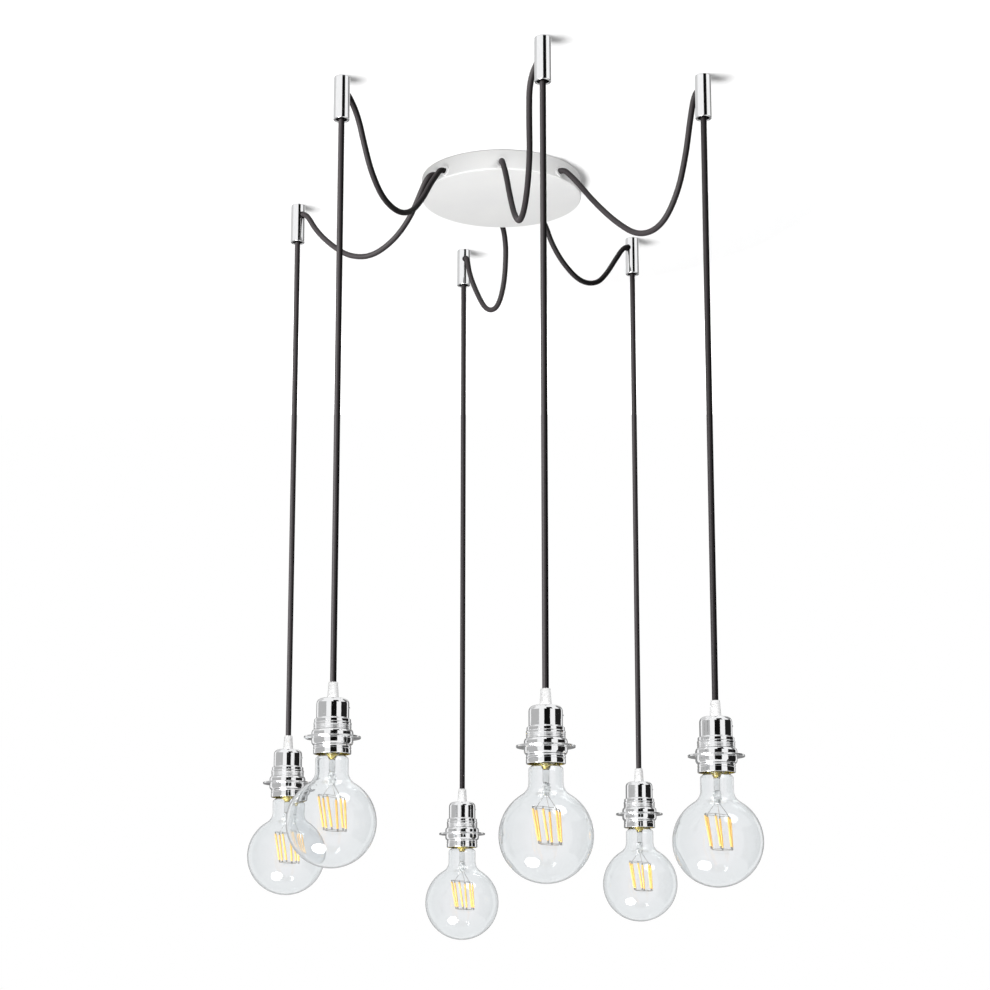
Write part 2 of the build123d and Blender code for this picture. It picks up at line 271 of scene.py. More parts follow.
# Natural moulded nylon of the grips and bushes: milky white, only a little light comes through.
def clearNylon():
    material, tree = newMaterial("clearNylon")
    cloud = grain(tree, 2.5)
    shader = add(
        tree,
        "ShaderNodeBsdfPrincipled",
        {
            "Base Color": tones(tree, cloud, "#d9d9d9", "#e0e0e0"),
            "Roughness": spread(tree, cloud, 0.2, 0.35),
            "IOR": 1.45,
            "Transmission Weight": 0.1,
            "Normal": relief(tree, cloud, 0.05),
        },
    )
    finishMaterial(tree, shader)
    return material


# White moulded polyamide of the terminal block: soft satin.
def whitePolyamide():
    material, tree = newMaterial("whitePolyamide")
    skin = grain(tree, 0.5)
    soft = grain(tree, 12)
    shader = add(
        tree,
        "ShaderNodeBsdfPrincipled",
        {
            "Base Color": tones(tree, soft, "#e9e8e2", "#f1f0ec"),
            "Roughness": spread(tree, skin, 0.35, 0.5),
            "Normal": relief(tree, skin, 0.01),
        },
    )
    finishMaterial(tree, shader)
    return material


# White glazed steatite of the holder's insert: hard, cool white, with a few specks.
def steatite():
    material, tree = newMaterial("glazedSteatite")
    specks = grain(tree, 0.7, detail=4.0)
    shader = add(
        tree,
        "ShaderNodeBsdfPrincipled",
        {
            "Base Color": tones(tree, specks, "#c9c6bd", "#e9e7e1", 0.25, 0.4),
            "Roughness": spread(tree, specks, 0.2, 0.35),
        },
    )
    finishMaterial(tree, shader)
    return material


# Blown soda glass of the globe: clear where the eye looks straight through it, and with the
# blowing's slow waves. Towards its outline, where the eye looks along the wall, its colour turns
# a
# cool grey: partly the glass's own tint, partly painted shade for the dark reflections at its
# edge.
def blownGlass():
    material, tree = newMaterial("blownClearGlass")
    waves = grain(tree, 45, detail=0.0)
    edge = add(tree, "ShaderNodeLayerWeight", {"Blend": 0.5})
    # Painted shade: the colour greys towards the outline, standing for dark reflections at the
    # edge as well as the glass's own tint.
    ramp = add(tree, "ShaderNodeValToRGB", {"Fac": edge.outputs["Facing"]})
    ramp.color_ramp.elements[0].position = 0.1
    ramp.color_ramp.elements[0].color = colour("#f5f6f7")
    ramp.color_ramp.elements[1].color = colour("#b0b5b7")
    for position, tint in ((0.2, "#f1f3f4"), (0.86, "#f1f3f4")):
        ramp.color_ramp.elements.new(position).color = colour(tint)
    shader = add(
        tree,
        "ShaderNodeBsdfPrincipled",
        {
            "Base Color": ramp.outputs["Color"],
            "Roughness": 0.0,
            "IOR": 1.46,
            "Transmission Weight": 1.0,
            "Normal": relief(tree, waves, 0.12),
        },
    )
    finishMaterial(tree, shader)
    return material


# Drawn glass of the bulb's inner stem, and its pressed end that is mottled by the tongs.
def stemGlass(name, mottled):
    material, tree = newMaterial(name)
    marks = grain(tree, 1.6 if mottled else 8, detail=2.0)
    shader = add(
        tree,
        "ShaderNodeBsdfPrincipled",
        {
            "Base Color": tones(tree, marks, "#85898a" if mottled else "#e6e9ea", "#f4f5f5"),
            "Roughness": 0.12 if mottled else 0.02,
            "IOR": 1.5,
            "Transmission Weight": 0.35 if mottled else 1.0,
            "Normal": relief(tree, marks, 0.5 if mottled else 0.05),
        },
    )
    finishMaterial(tree, shader)
    return material


# Filament stick: light chips under a yellow phosphor silicone, warm orange at its sides, with a
# faint painted glow that keeps it bright.
def phosphor():
    material, tree = newMaterial("phosphorSilicone")
    edge = add(tree, "ShaderNodeLayerWeight", {"Blend": 0.5})
    lumps = grain(tree, 1.2)
    tint = tones(tree, edge.outputs["Facing"], "#f5cc6e", "#e99230", 0.12, 0.6)
    shader = add(
        tree,
        "ShaderNodeBsdfPrincipled",
        {
            "Base Color": tint,
            "Roughness": spread(tree, lumps, 0.35, 0.5),
            # Painted glow: a weak emission in the coat's own colour.
            "Emission Color": tint,
            "Emission Strength": 0.16,
            "Normal": relief(tree, lumps, 0.05),
        },
    )
    finishMaterial(tree, shader)
    return material


steelWhite = powderCoat()
zinc = zincPlate()
chrome = chromePlate()
brass = drawnBrass()
nickel = nickelWire()
textile = braidedRayon()
nylon = clearNylon()
polyamide = whitePolyamide()
ceramic = steatite()
glass = blownGlass()
clearStem = stemGlass("drawnStemGlass", False)
pinchGlass = stemGlass("pressedStemGlass", True)
filamentCoat = phosphor()
print("materials:", len(bpy.data.materials))


# Quads of a grid of points, as numbers row * columns + column.
def gridFaces(rows, columns, closeRows, closeColumns):
    i = np.arange(rows if closeRows else rows - 1)[:, None]
    j = np.arange(columns if closeColumns else columns - 1)[None, :]
    i2, j2 = (i + 1) % rows, (j + 1) % columns
    quads = np.stack([i * columns + j, i * columns + j2, i2 * columns + j2, i2 * columns + j], -1)
    return quads.reshape(-1, 4)


# A surface: its grid of points, whose rows close, whether the last row also joins the first, its
# material number, and its UV map as (length at each row, turns round the row). A row that is all
# one point becomes a pole.
def surface(points, closeRows=False, paint=0, along=None):
    rows, columns = points.shape[:2]
    faces = gridFaces(rows, columns, closeRows, True)
    if along is None:
        uv = np.zeros((len(faces), 4, 2))
    else:
        first = along[:-1, None, None] + np.zeros((1, columns, 1))
        last = along[1:, None, None] + np.zeros((1, columns, 1))
        turn = (np.arange(columns) / columns)[None, :, None] + np.zeros((rows - 1, 1, 1))
        step = 1 / columns
        u = np.concatenate([first, first, last, last], -1)
        v = np.concatenate([turn, turn + step, turn + step, turn], -1)
        uv = np.stack([u, v], -1).reshape(-1, 4, 2)
    stripes = len(faces) // columns
    paints = np.repeat(paint if np.ndim(paint) else np.full(stripes, paint), columns)
    return {"points": points.reshape(-1, 3), "faces": faces, "uv": uv, "paint": paints}


sharpEdge = radians(32)  # edges that turn by more stay sharp


# A mesh in metres from surfaces in millimetres, moved to `origin`, with doubles merged and faces
# outwards.
def meshOf(name, surfaces, materials, origin=(0, 0, 0)):
    starts = np.cumsum([0] + [len(s["points"]) for s in surfaces])
    points = np.concatenate([s["points"] for s in surfaces]) + np.array(origin, float)
    faces = np.concatenate([s["faces"] + at for s, at in zip(surfaces, starts)])
    mesh = bpy.data.meshes.new(name)
    mesh.from_pydata((points * mm).tolist(), [], faces.tolist())
    paint = np.concatenate([s["paint"] for s in surfaces]).astype(np.int32)
    mesh.polygons.foreach_set("material_index", paint)
    uv = np.concatenate([s["uv"] for s in surfaces]).astype(np.float32)
    mesh.uv_layers.new(name="UVMap").data.foreach_set("uv", uv.ravel())
    for material in materials:
        mesh.materials.append(material)
    work = bmesh.new()
    work.from_mesh(mesh)
    bmesh.ops.remove_doubles(work, verts=work.verts, dist=1e-7)
    bmesh.ops.recalc_face_normals(work, faces=work.faces)
    work.to_mesh(mesh)
    work.free()
    mesh.shade_smooth()
    mesh.set_sharp_from_angle(angle=sharpEdge)
    return mesh


# A scene object of a mesh, riding on a body and standing for CAD nodes.
def piece(name, mesh, body, nodes):
    made = bpy.data.objects.new(name, mesh)
    scene.collection.objects.link(made)
    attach(made, body)
    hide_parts(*nodes)
    return made


# Outline through corners (radius, height, rounding): a rounded corner becomes an arc that
# touches both its sides, found from the half angle between them.
def outline(corners, steps=7, closed=True):
    corners = np.array(corners, float)
    here = corners[:, :2]
    back, ahead = np.roll(here, 1, 0) - here, np.roll(here, -1, 0) - here
    backLength = np.linalg.norm(back, axis=1, keepdims=True)
    aheadLength = np.linalg.norm(ahead, axis=1, keepdims=True)
    u, w = back / backLength, ahead / aheadLength
    half = np.arccos(np.clip((u * w).sum(1, keepdims=True), -0.9999, 0.9999)) / 2
    cut = np.minimum(corners[:, 2:] / np.tan(half), 0.49 * np.minimum(backLength, aheadLength))
    if not closed:
        cut[[0, -1]] = 0
    reach = cut / np.cos(half)
    middle = u + w
    middleLength = np.maximum(np.linalg.norm(middle, axis=1, keepdims=True), 1e-9)
    centre = here + middle / middleLength * reach
    a, b = here + u * cut - centre, here + w * cut - centre
    turn = (pi - 2 * half)[:, :, None]
    t = np.linspace(0, 1, steps)[None, :, None]
    blend = np.maximum(np.sin(turn), 1e-9)
    swept = np.sin((1 - t) * turn) * a[:, None] + np.sin(t * turn) * b[:, None]
    arcs = centre[:, None] + swept / blend
    arcs[cut[:, 0] < 1e-6] = here[cut[:, 0] < 1e-6][:, None]
    flat = arcs.reshape(-1, 2)
    keep = np.concatenate([[True], np.linalg.norm(np.diff(flat, axis=0), axis=1) > 1e-6])
    return flat[keep]


# A straight wall of an outline cut into even steps, so that a thread can be worked into it.
def wall(r, low, high, each):
    z = np.linspace(low, high, max(2, int(abs(high - low) / each) + 1))
    return np.stack([np.full_like(z, r), z], 1)


# A turned surface: each outline point goes round the axis. A thread is (low, high, pitch,
# depth, side): between those heights the radius falls by the depth times a wave that climbs
# one pitch a turn and fades out at both ends, on the walls within 0.6 mm of radius `side`.
def turned(line, steps=96, closed=True, thread=None, paint=0):
    angle = np.linspace(0, 2 * pi, steps, endpoint=False)[None, :]
    r = line[:, :1] + np.zeros_like(angle)
    z = line[:, 1:] + np.zeros_like(angle)
    if thread:
        low, high, pitch, depth, side = thread
        wave = 0.5 + 0.5 * np.cos(2 * pi * z / pitch - angle)
        fade = np.clip((z - low) / pitch, 0, 1) * np.clip((high - z) / pitch, 0, 1)
        r = r - depth * wave * fade * (np.abs(line[:, :1] - side) < 0.6)
    points = np.stack([r * np.cos(angle), r * np.sin(angle), z], -1)
    return surface(points, closeRows=closed, paint=paint)


# A round tube along a path: at each point the circle stands square to the path, its first axis
# being the reference direction made square to it. The ends close on their centres.
def tube(path, radius, sides=12, reference=(0, 0, 1), paint=0, unroll=False):
    path = np.asarray(path, float)
    tangent = np.gradient(path, axis=0)
    tangent /= np.linalg.norm(tangent, axis=1, keepdims=True)
    reference = np.asarray(reference, float)
    first = reference - (tangent @ reference)[:, None] * tangent
    first /= np.linalg.norm(first, axis=1, keepdims=True)
    second = np.cross(tangent, first)
    angle = np.linspace(0, 2 * pi, sides, endpoint=False)[None, :, None]
    radius = np.broadcast_to(np.asarray(radius, float), len(path))[:, None, None]
    around = np.cos(angle) * first[:, None] + np.sin(angle) * second[:, None]
    ends = [np.repeat(path[[i]][None], sides, 1) for i in (0, -1)]
    points = np.concatenate([ends[0], path[:, None] + radius * around, ends[1]])
    along = None
    if unroll:
        length = np.concatenate([[0], np.cumsum(np.linalg.norm(np.diff(path, axis=0), axis=1))])
        along = np.concatenate([[0], length, length[-1:]])
    return surface(points, paint=paint, along=along)


# Straight rod between two points, its ends rounded over by `rounding` millimetres.
def rod(start, end, radius, sides=12, rounding=0.0, paint=0):
    start, end = np.array(start, float), np.array(end, float)
    way = (end - start) / np.linalg.norm(end - start)
    reference = (0, 0, 1) if abs(way[2]) < 0.9 else (1, 0, 0)
    if rounding:
        bend = np.linspace(0, pi / 2, 4)
        inset = rounding * (1 - np.cos(bend))
        small = radius - rounding * (1 - np.sin(bend))
        path = np.concatenate([start + way * inset[:, None], end - way * inset[::-1, None]])
        radii = np.concatenate([small, small[::-1]])
    else:
        path, radii = np.stack([start, end]), radius
    return tube(path, radii, sides, reference, paint)


# Cuts a mesh with other meshes and gives the result its sharp edges again.
def cutBy(mesh, cutters):
    body = bpy.data.objects.new("cutBody", mesh)
    scene.collection.objects.link(body)
    helpers = []
    for cutter in cutters:
        helper = bpy.data.objects.new("cutter", cutter)
        scene.collection.objects.link(helper)
        helpers.append(helper)
        modifier = body.modifiers.new("cut", "BOOLEAN")
        modifier.operation, modifier.solver, modifier.object = "DIFFERENCE", "EXACT", helper
    result = bpy.data.meshes.new_from_object(
        body.evaluated_get(bpy.context.evaluated_depsgraph_get())
    )
    for helper in (body, *helpers):
        bpy.data.objects.remove(helper)
    result.shade_smooth()
    result.set_sharp_from_angle(angle=sharpEdge)
    return result


cordRadius = 3.4
cordSides = 24

# Route of each swag from its rose hole to its hook: points (distance along the chord, Z,
# sideways), then the point before the fold as (distance before the hook, Z, sideways).
swagRoutes = {
    "front": (
        [
            (10, -24, 0),
            (22, -43, 2),
            (42, -80, 4),
            (70, -114, 5),
            (112, -138, 5),
            (160, -132, 4),
            (207, -98, 1),
            (245, -66, -6),
        ],
        (27, -36, -10),
    ),
    "front_right": (
        [
            (10, -25, 2),
            (28, -43, 3),
            (62, -78, 2),
            (104, -117, 4),
            (148, -147, 4),
            (194, -150, 2),
            (226, -120, 1),
            (243, -80, 0),
        ],
        (24, -42, 0),
    ),
    "back_right": (
        [(8, -24, 1), (18, -44, 1), (38, -67, 0), (70, -85, 0), (102, -80, 0), (122, -60, 0)],
        (34, -38, 0),
    ),
    "back": (
        [
            (8, -24, -7),
            (20, -46, -14),
            (40, -86, -18),
            (68, -110, -18),
            (100, -103, -13),
            (124, -70, -7),
        ],
        (24, -40, 0),
    ),
    "back_left": (
        [
            (6, -26, 4),
            (18, -44, 3),
            (37, -66, -1),
            (64, -88, -1),
            (100, -100, 0),
            (138, -91, 0),
            (170, -69, 0),
        ],
        (34, -42, 0),
    ),
    "front_left": (
        [
            (9, -25, 0),
            (25, -43, -1),
            (46, -70, -1),
            (76, -98, -1),
            (112, -111, 0),
            (150, -107, 0),
            (178, -86, 0),
            (196, -59, 0),
        ],
        (38, -30, 0),
    ),
}
# Radius and Z of the first points, then distance before the hook and Z of the last ones
throughRose = ((61, -10.5), (76, -12.4), (91.5, -16), (107, -16))
intoHook = ((15, -13.4), (0, -13.4), (-0.5, -30), (0, -46.3))
# Z of the mouth of a hook, height of a cord's end above a holder's rim, straight lead at each end
hanging = {"hookMouth": -50, "inHolder": 49, "lead": 60}


# Points of the smooth line of a route: a NURBS spline with the route as its control points.
def splinePoints(route, resolution=12):
    curve = bpy.data.curves.new("route", "CURVE")
    curve.dimensions = "3D"
    curve.resolution_u = resolution
    spline = curve.splines.new("NURBS")
    spline.points.add(len(route) - 1)
    weighted = np.append(np.asarray(route, float), np.ones((len(route), 1)), 1)
    spline.points.foreach_set("co", weighted.ravel())
    spline.order_u = 3
    spline.use_endpoint_u = True
    carrier = bpy.data.objects.new("route", curve)
    mesh = bpy.data.meshes.new_from_object(carrier)
    points = np.zeros(len(mesh.vertices) * 3)
    mesh.vertices.foreach_get("co", points)
    bpy.data.objects.remove(carrier)
    bpy.data.meshes.remove(mesh)
    return points.reshape(-1, 3)


cordPieces = []
for name, (x, y, drop, direction) in lamps.items():
    # Swag from inside the rose to the fold in the hook
    hook = np.array([x, y, 0.0])
    out = np.array([cos(radians(direction)), sin(radians(direction)), 0])
    start = out * throughRose[-1][0]
    chord = (hook - start) / np.linalg.norm(hook - start)
    side = np.array([-chord[1], chord[0], 0])
    up = np.array([0, 0, 1.0])
    middle, beforeFold = swagRoutes[name]
    route = [out * r + up * z for r, z in throughRose]
    route += [start + chord * far + side * off + up * z for far, z, off in middle]
    far, z, off = beforeFold
    route += [hook - chord * far + side * off + up * z]
    route += [hook - chord * r + up * z for r, z in intoHook]
    path = splinePoints(np.array(route))
    sleeve = tube(path, cordRadius, cordSides, side, unroll=True)
    mesh = meshOf(f"swagCord_{name}", [sleeve], [textile])
    swag = piece(f"swagCord_{name}", mesh, "ceiling_set", [f"swag_cord_{name}"])

    # Hanging cord from the hook to the grip, its top rounded where it turns on the hook
    top, low = hanging["hookMouth"] + cordRadius, rimUp - drop + hanging["inHolder"]
    stops = (top, top - hanging["lead"], low + hanging["lead"], low)
    path = splinePoints([(x, y, z) for z in stops], resolution=24)
    depth = np.clip(top - path[:, 2], 0, cordRadius)
    radii = np.sqrt(np.maximum(cordRadius**2 - (cordRadius - depth) ** 2, 0.25))
    sleeve = tube(path, radii, cordSides, (1, 0, 0), unroll=True)
    mesh = meshOf(f"hangCord_{name}", [sleeve], [textile])
    hang = piece(f"hangCord_{name}", mesh, f"drop_{name}", [f"hang_cord_{name}"])
    cordPieces += [swag, hang]
print("cords:", len(cordPieces))


# Rose cover: a shallow pan, open to the ceiling, with six cord holes and two screw holes
rose = {
    "radius": 100.0,
    "height": 25.0,
    "wall": 1.2,
    "edge": 2.0,
    "rim": 0.3,
    "holeZ": -16.0,
    "holeR": 5.2,
    "screwZ": -11.0,
    "screwR": 2.1,
    "screwAt": (0, 180),
    "cutReach": 10.0,
}
wallIn = rose["radius"] - rose["wall"]
line = outline(
    [
        (0, -rose["height"], 0),
        (rose["radius"], -rose["height"], rose["edge"]),
        (rose["radius"], 0, rose["rim"]),
        (wallIn, 0, rose["rim"]),
        (wallIn, rose["wall"] - rose["height"], rose["edge"] - rose["wall"]),
        (0, rose["wall"] - rose["height"], 0),
    ],
    steps=6,
    closed=False,
)
cover = meshOf("roseCover", [turned(line, 192, closed=False)], [steelWhite])


# A mesh cylinder through the rose's wall in a direction, for cutting a hole.
def wallCutter(direction, z, radius):
    way = np.array([cos(radians(direction)), sin(radians(direction)), 0])
    inner = way * (rose["radius"] - rose["cutReach"]) + (0, 0, z)
    outer = way * (rose["radius"] + rose["cutReach"]) + (0, 0, z)
    return meshOf("cutter", [rod(inner, outer, radius, 32)], [])


cutters = [wallCutter(at, rose["holeZ"], rose["holeR"]) for *_, at in lamps.values()]
cutters += [wallCutter(at, rose["screwZ"], rose["screwR"]) for at in rose["screwAt"]]
rosePieces = [
    piece("roseCover", cutBy(cover, cutters), "ceiling_set", ["rose_cover"]),
    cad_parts["cord_bushes"],
]

# CAD nodes whose shape stays
for node, material in (
    ("rose_bracket", zinc),
    ("cover_screws", steelWhite),
    ("terminal_block", polyamide),
    ("cord_bushes", nylon),
    ("hook_plugs", zinc),
):
    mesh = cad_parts[node].data
    mesh.materials.clear()
    mesh.materials.append(material)
print("ceiling rose done")


# Hook: a tube on the ceiling with a side hole for the swag, its lower end open
hookSleeve = {"radius": 9.0, "bore": 6.5, "length": 50.0, "entryR": 4.7, "entryZ": -14.2}
line = outline(
    [
        (hookSleeve["bore"], 0, 0.3),
        (hookSleeve["radius"], 0, 0.4),
        (hookSleeve["radius"], -hookSleeve["length"], 0.7),
        (hookSleeve["bore"], -hookSleeve["length"], 0.8),
    ]
)
hookPieces = []
for name, (x, y, _, direction) in lamps.items():
    start = throughRose[-1][0] * np.array([cos(radians(direction)), sin(radians(direction)), 0])
    chord = np.array([x, y, 0]) - start
    chord /= np.linalg.norm(chord)
    sleeve = meshOf(f"hookSleeve_{name}", [turned(line, 64)], [chrome], (x, y, 0))
    centre = np.array([x, y, hookSleeve["entryZ"]])
    outside = centre - chord * 2 * hookSleeve["radius"]
    cutter = meshOf("cutter", [rod(centre, outside, hookSleeve["entryR"], 32)], [])
    sleeve = cutBy(sleeve, [cutter])
    nodes = [f"hook_sleeve_{name}"]
    hookPieces.append(piece(f"hookSleeve_{name}", sleeve, "ceiling_set", nodes))
print("ceiling hooks done")


# Heights in a holder count from the barrel's rim upwards.
# Domed cap with a rolled bead at its foot and a threaded boss inside
capLine = outline(
    [
        (5.0, 52.8, 0.3),
        (5.0, 59.0, 0.4),
        (17.3, 59.0, 10.4),
        (17.3, 37.7, 0.8),
        (19.3, 36.7, 1.1),
        (19.3, 33.05, 0.9),
        (16.1, 33.05, 0.2),
        (16.1, 57.8, 9.2),
        (7.6, 57.8, 0.5),
        (7.6, 52.8, 0.3),
    ],
    steps=10,
)
lockScrews = ((-117, 41.0, 15.0, 17.1), (0, 49.0, 15.0, 17.9))  # direction, height, ends
lockScrewSize = {"radius": 1.5, "rounding": 0.25, "slotR": 0.28}


# Slotted lock screw of the cap, pointing outwards: its shank, and a bar that stands for the slot.
def lockScrew(direction, height, inner, outer):
    way = np.array([cos(radians(direction)), sin(radians(direction)), 0])
    across = np.array([-way[1], way[0], 0])
    up = np.array([0, 0, height])
    tip = way * outer + up
    rounding = lockScrewSize["rounding"]
    head = rod(way * inner + up, tip, lockScrewSize["radius"], 20, rounding=rounding)
    return head, rod(tip - across, tip + across, lockScrewSize["slotR"], 8)


# Barrel: plain rim, then the fine thread that carries the shade rings, and a neck in the cap
barrel = {
    "radius": 20.0,
    "bore": 18.6,
    "neck": 15.9,
    "neckBore": 14.8,
    "threadLow": 6.5,
    "threadHigh": 32.0,
    "pitch": 1.7,
    "depth": 0.45,
}
outer, bore, neck, neckBore = (barrel[each] for each in ("radius", "bore", "neck", "neckBore"))
barrelLine = np.concatenate(
    [
        outline([(bore, 3, 0), (bore, 0, 0.5), (outer, 0, 0.6), (outer, 4.4, 0)], closed=False),
        [(outer - 0.4, 4.8), (outer - 0.4, 5.4), (outer, 5.8)],
        wall(outer, 6.0, 32.4, 0.2),
        [(outer - 0.3, 33.0), (neck, 33.0), (neck, 44.0), (neckBore, 44.0)],
        [(neckBore, 31.6), (bore, 31.6)],
    ]
)
bare = (np.abs(barrelLine[:, 0] - bore) < 0.2) | (barrelLine[:, 0] < neckBore + 0.2)

# Insert: a steatite disc with a tube of drawn brass whose inner wall is the lamp thread. The
# shell's thread depth is negative because its wall is the inner one.
lampThread = {"pitch": 3.6, "shellR": 13.75, "shellDepth": -0.35, "capR": 13.2, "capDepth": 0.8}
insertDisc = outline(
    [
        (0, 29.3, 0),
        (14.9, 29.3, 0.3),
        (14.9, 26.4, 0.3),
        (18.4, 26.4, 0.4),
        (18.4, 31.4, 0.4),
        (0, 31.4, 0),
    ],
    closed=False,
)
shellTube = np.concatenate(
    [
        wall(lampThread["shellR"], 3.4, 28.6, 0.4),
        [(lampThread["shellR"], 29.25), (14.85, 29.25), (14.85, 3.2), (14.6, 3.0), (14.0, 3.0)],
    ]
)

ring = {
    "bore": 20.3,
    "flange": 30.0,
    "thick": 1.0,
    "collar": 22.0,
    "top": 21.1,
    "shoulder": 5.3,
    "height": 7.5,
    "plane": 17.5,
    "gap": 0.025,
    "holeAt": 23.6,
    "holeR": 1.2,
}


# Shade ring: a round flange with a swelling collar, its mate the same shape upside down. `up`
# is 1 or -1, and heights count from the plane where the two flanges meet.
def ringLine(up):
    low = ring["plane"] + up * ring["gap"]
    return outline(
        [
            (ring["bore"], low, 0.2),
            (ring["flange"], low, 0.45),
            (ring["flange"], low + up * ring["thick"], 0.45),
            (ring["collar"], low + up * ring["thick"], 0.4),
            (ring["collar"], low + up * ring["shoulder"], 1.6),
            (ring["top"], low + up * ring["height"], 0.5),
            (ring["bore"], low + up * ring["height"], 0.25),
        ]
    )


ringEnds = (ring["plane"] - ring["height"], ring["plane"] + ring["height"])
ringHoles = [
    meshOf("cutter", [rod((at, 0, ringEnds[0]), (at, 0, ringEnds[1]), ring["holeR"], 24)], [])
    for at in (-ring["holeAt"], ring["holeAt"])
]
baseRings = [
    cutBy(meshOf("ring", [turned(ringLine(up), 128)], [chrome]), ringHoles) for up in (1, -1)
]

# Clear cone that grips the cord, with a spigot in the cap and a clamping screw
gripLine = outline(
    [
        (3.7, 52.0, 0.2),
        (4.9, 52.0, 0.2),
        (4.9, 59.02, 0),
        (6.0, 59.02, 0.3),
        (6.0, 60.6, 0.4),
        (5.0, 76.3, 0.9),
        (3.7, 76.3, 0.3),
    ]
)
clamp = {"z": 67.5, "inner": -3.6, "outer": -6.05, "radius": 1.45, "slotY": -6.1, "slotR": 0.26}
clampStart, clampEnd = (0, clamp["inner"], clamp["z"]), (0, clamp["outer"], clamp["z"])
gripScrew = rod(clampStart, clampEnd, clamp["radius"], 20, rounding=0.3)
slotEnds = [(x, clamp["slotY"], clamp["z"]) for x in (-1.0, 1.0)]
gripSlot = rod(*slotEnds, clamp["slotR"], 8)


bulb = {
    "centre": -rimUp,
    "globe": 47.5,
    "neck": 17.5,
    "mouth": 12.6,
    "top": 8.0,
    "glass": 0.75,
    "blend": 14.0,
}


# One side of the glass as (radius, height) points: an arc of the globe up to where it touches
# the blending circle, that circle down to the neck's line, then neck, shoulder and mouth.
def glassSide(inset):
    globe, neck, mouth = bulb["globe"] - inset, bulb["neck"] - inset, bulb["mouth"] - inset
    blend = bulb["blend"] + inset
    reach = ((globe + blend) ** 2 - (neck + blend) ** 2) ** 0.5
    touch = np.arctan2(reach, neck + blend)
    ball = np.linspace(-pi / 2, touch, 72)
    flare = np.linspace(pi + touch, pi, 16)[1:]
    curve = np.concatenate(
        [
            np.stack([globe * np.cos(ball), bulb["centre"] + globe * np.sin(ball)], 1),
            np.stack(
                [
                    neck + blend + blend * np.cos(flare),
                    bulb["centre"] + reach + blend * np.sin(flare),
                ],
                1,
            ),
        ]
    )
    curve[0, 0] = 0
    shoulder = outline(
        [(neck, -12, 0), (neck, -4.2, 2.5), (mouth, -0.4, 2.0), (mouth, bulb["top"], 0)],
        closed=False,
    )
    return np.concatenate([curve, shoulder])


glassLine = np.concatenate([glassSide(0), glassSide(bulb["glass"])[::-1]])

# Screw cap: rolled skirt, round lamp thread, cone and contact button
capShell = np.concatenate(
    [
        [(12.7, 1.6), (12.9, 1.0), (lampThread["capR"], 1.2)],
        wall(lampThread["capR"], 1.6, 22.4, 0.45),
        [(12.8, 23.0), (4.8, 26.5), (4.8, 28.4), (3.8, 29.0), (0, 29.0)],
    ]
)
capInside = np.array([(0, 25.0), (4.6, 25.0), (12.2, 21.8), (12.2, 1.6)])

# Stem: a flared foot inside the neck that narrows to a tube
stemLine = np.concatenate(
    [
        [(0, 6.4), (11.4, 7.0), (11.6, 6.6), (11.2, 5.6)],
        outline([(8.6, 1.0, 0), (3.4, -4.5, 6.0), (3.2, -18.0, 0)], closed=False),
        [(2.6, -19.4), (0, -19.8)],
    ]
)

# Pinched end of the stem: a bar that the tongs flatten over its first `over` millimetres, from
# nearly round to wider than thick. Its width swells with two sine waves, and the sixth power of
# the distance from its middle closes both ends. The sides are squared by a power of the cosine.
pinchBar = {
    "top": -18.0,
    "low": -32.5,
    "over": 3.0,
    "wide": 3.1,
    "widens": 1.3,
    "thick": 2.9,
    "thins": 1.2,
    "halfLength": 7.3,
}
pinchZ = np.linspace(pinchBar["top"], pinchBar["low"], 26)
pinchTurn = np.linspace(0, 2 * pi, 28, endpoint=False)
pressed = np.clip((pinchBar["top"] - pinchZ) / pinchBar["over"], 0, 1)
swell = 1 + 0.15 * np.sin(pinchZ * 1.5) + 0.1 * np.sin(pinchZ * 3.7 + 1)
pinchMiddle = (pinchBar["top"] + pinchBar["low"]) / 2
fromMiddle = np.abs(pinchZ - pinchMiddle) / pinchBar["halfLength"]
closing = np.sqrt(np.clip(1 - fromMiddle**6, 0, 1))
halfWide = (pinchBar["wide"] + pinchBar["widens"] * pressed) * swell * closing
halfThick = (pinchBar["thick"] - pinchBar["thins"] * pressed) * closing
pinch = np.stack(
    [
        halfWide[:, None] * np.cos(pinchTurn) * np.abs(np.cos(pinchTurn)) ** -0.3,
        halfThick[:, None] * np.sin(pinchTurn),
        pinchZ[:, None] + 0 * pinchTurn,
    ],
    -1,
)

# Frame of six filaments: tops and feet on two tilted circles, the feet moved to +X. The turns
# are in degrees and the tilts are slopes.
cage = {
    "count": 6,
    "turn": 15,
    "twist": 5,
    "lean": 4,
    "topR": 14,
    "topZ": -44,
    "topTilt": 0.11,
    "lowR": 12,
    "lowZ": -80,
    "lowTilt": 0.05,
    "wireR": 0.32,
    "legR": 0.35,
    "legTop": -31,
}
turns = radians(cage["turn"]) + 2 * pi * np.arange(cage["count"]) / cage["count"]


# Points of one circle of the frame, moved along X and tilted so that it falls towards +X.
def cageRing(radius, z, turn, tilt, lean):
    x, y = radius * np.cos(turns + turn), radius * np.sin(turns + turn)
    return np.stack([x + lean, y, z - tilt * x], 1)


tops = cageRing(cage["topR"], cage["topZ"], 0, cage["topTilt"], 0)
feet = cageRing(
    cage["lowR"], cage["lowZ"], radians(cage["twist"]), cage["lowTilt"], cage["lean"]
)

# Wires along both circles, and three legs from the pinch: X and Y at the pinch, and the top
mountWires = []
for ringPoints in (tops, feet):
    for a, b in zip(ringPoints, np.roll(ringPoints, -1, 0)):
        mountWires.append(rod(a, b, cage["wireR"], 8, paint=2))
for x, y, at in ((-1.6, 0, 2), (1.6, 0, 5), (0, 0.8, 1)):
    mountWires.append(rod((x, y, cage["legTop"]), tops[at], cage["legR"], 8, paint=2))

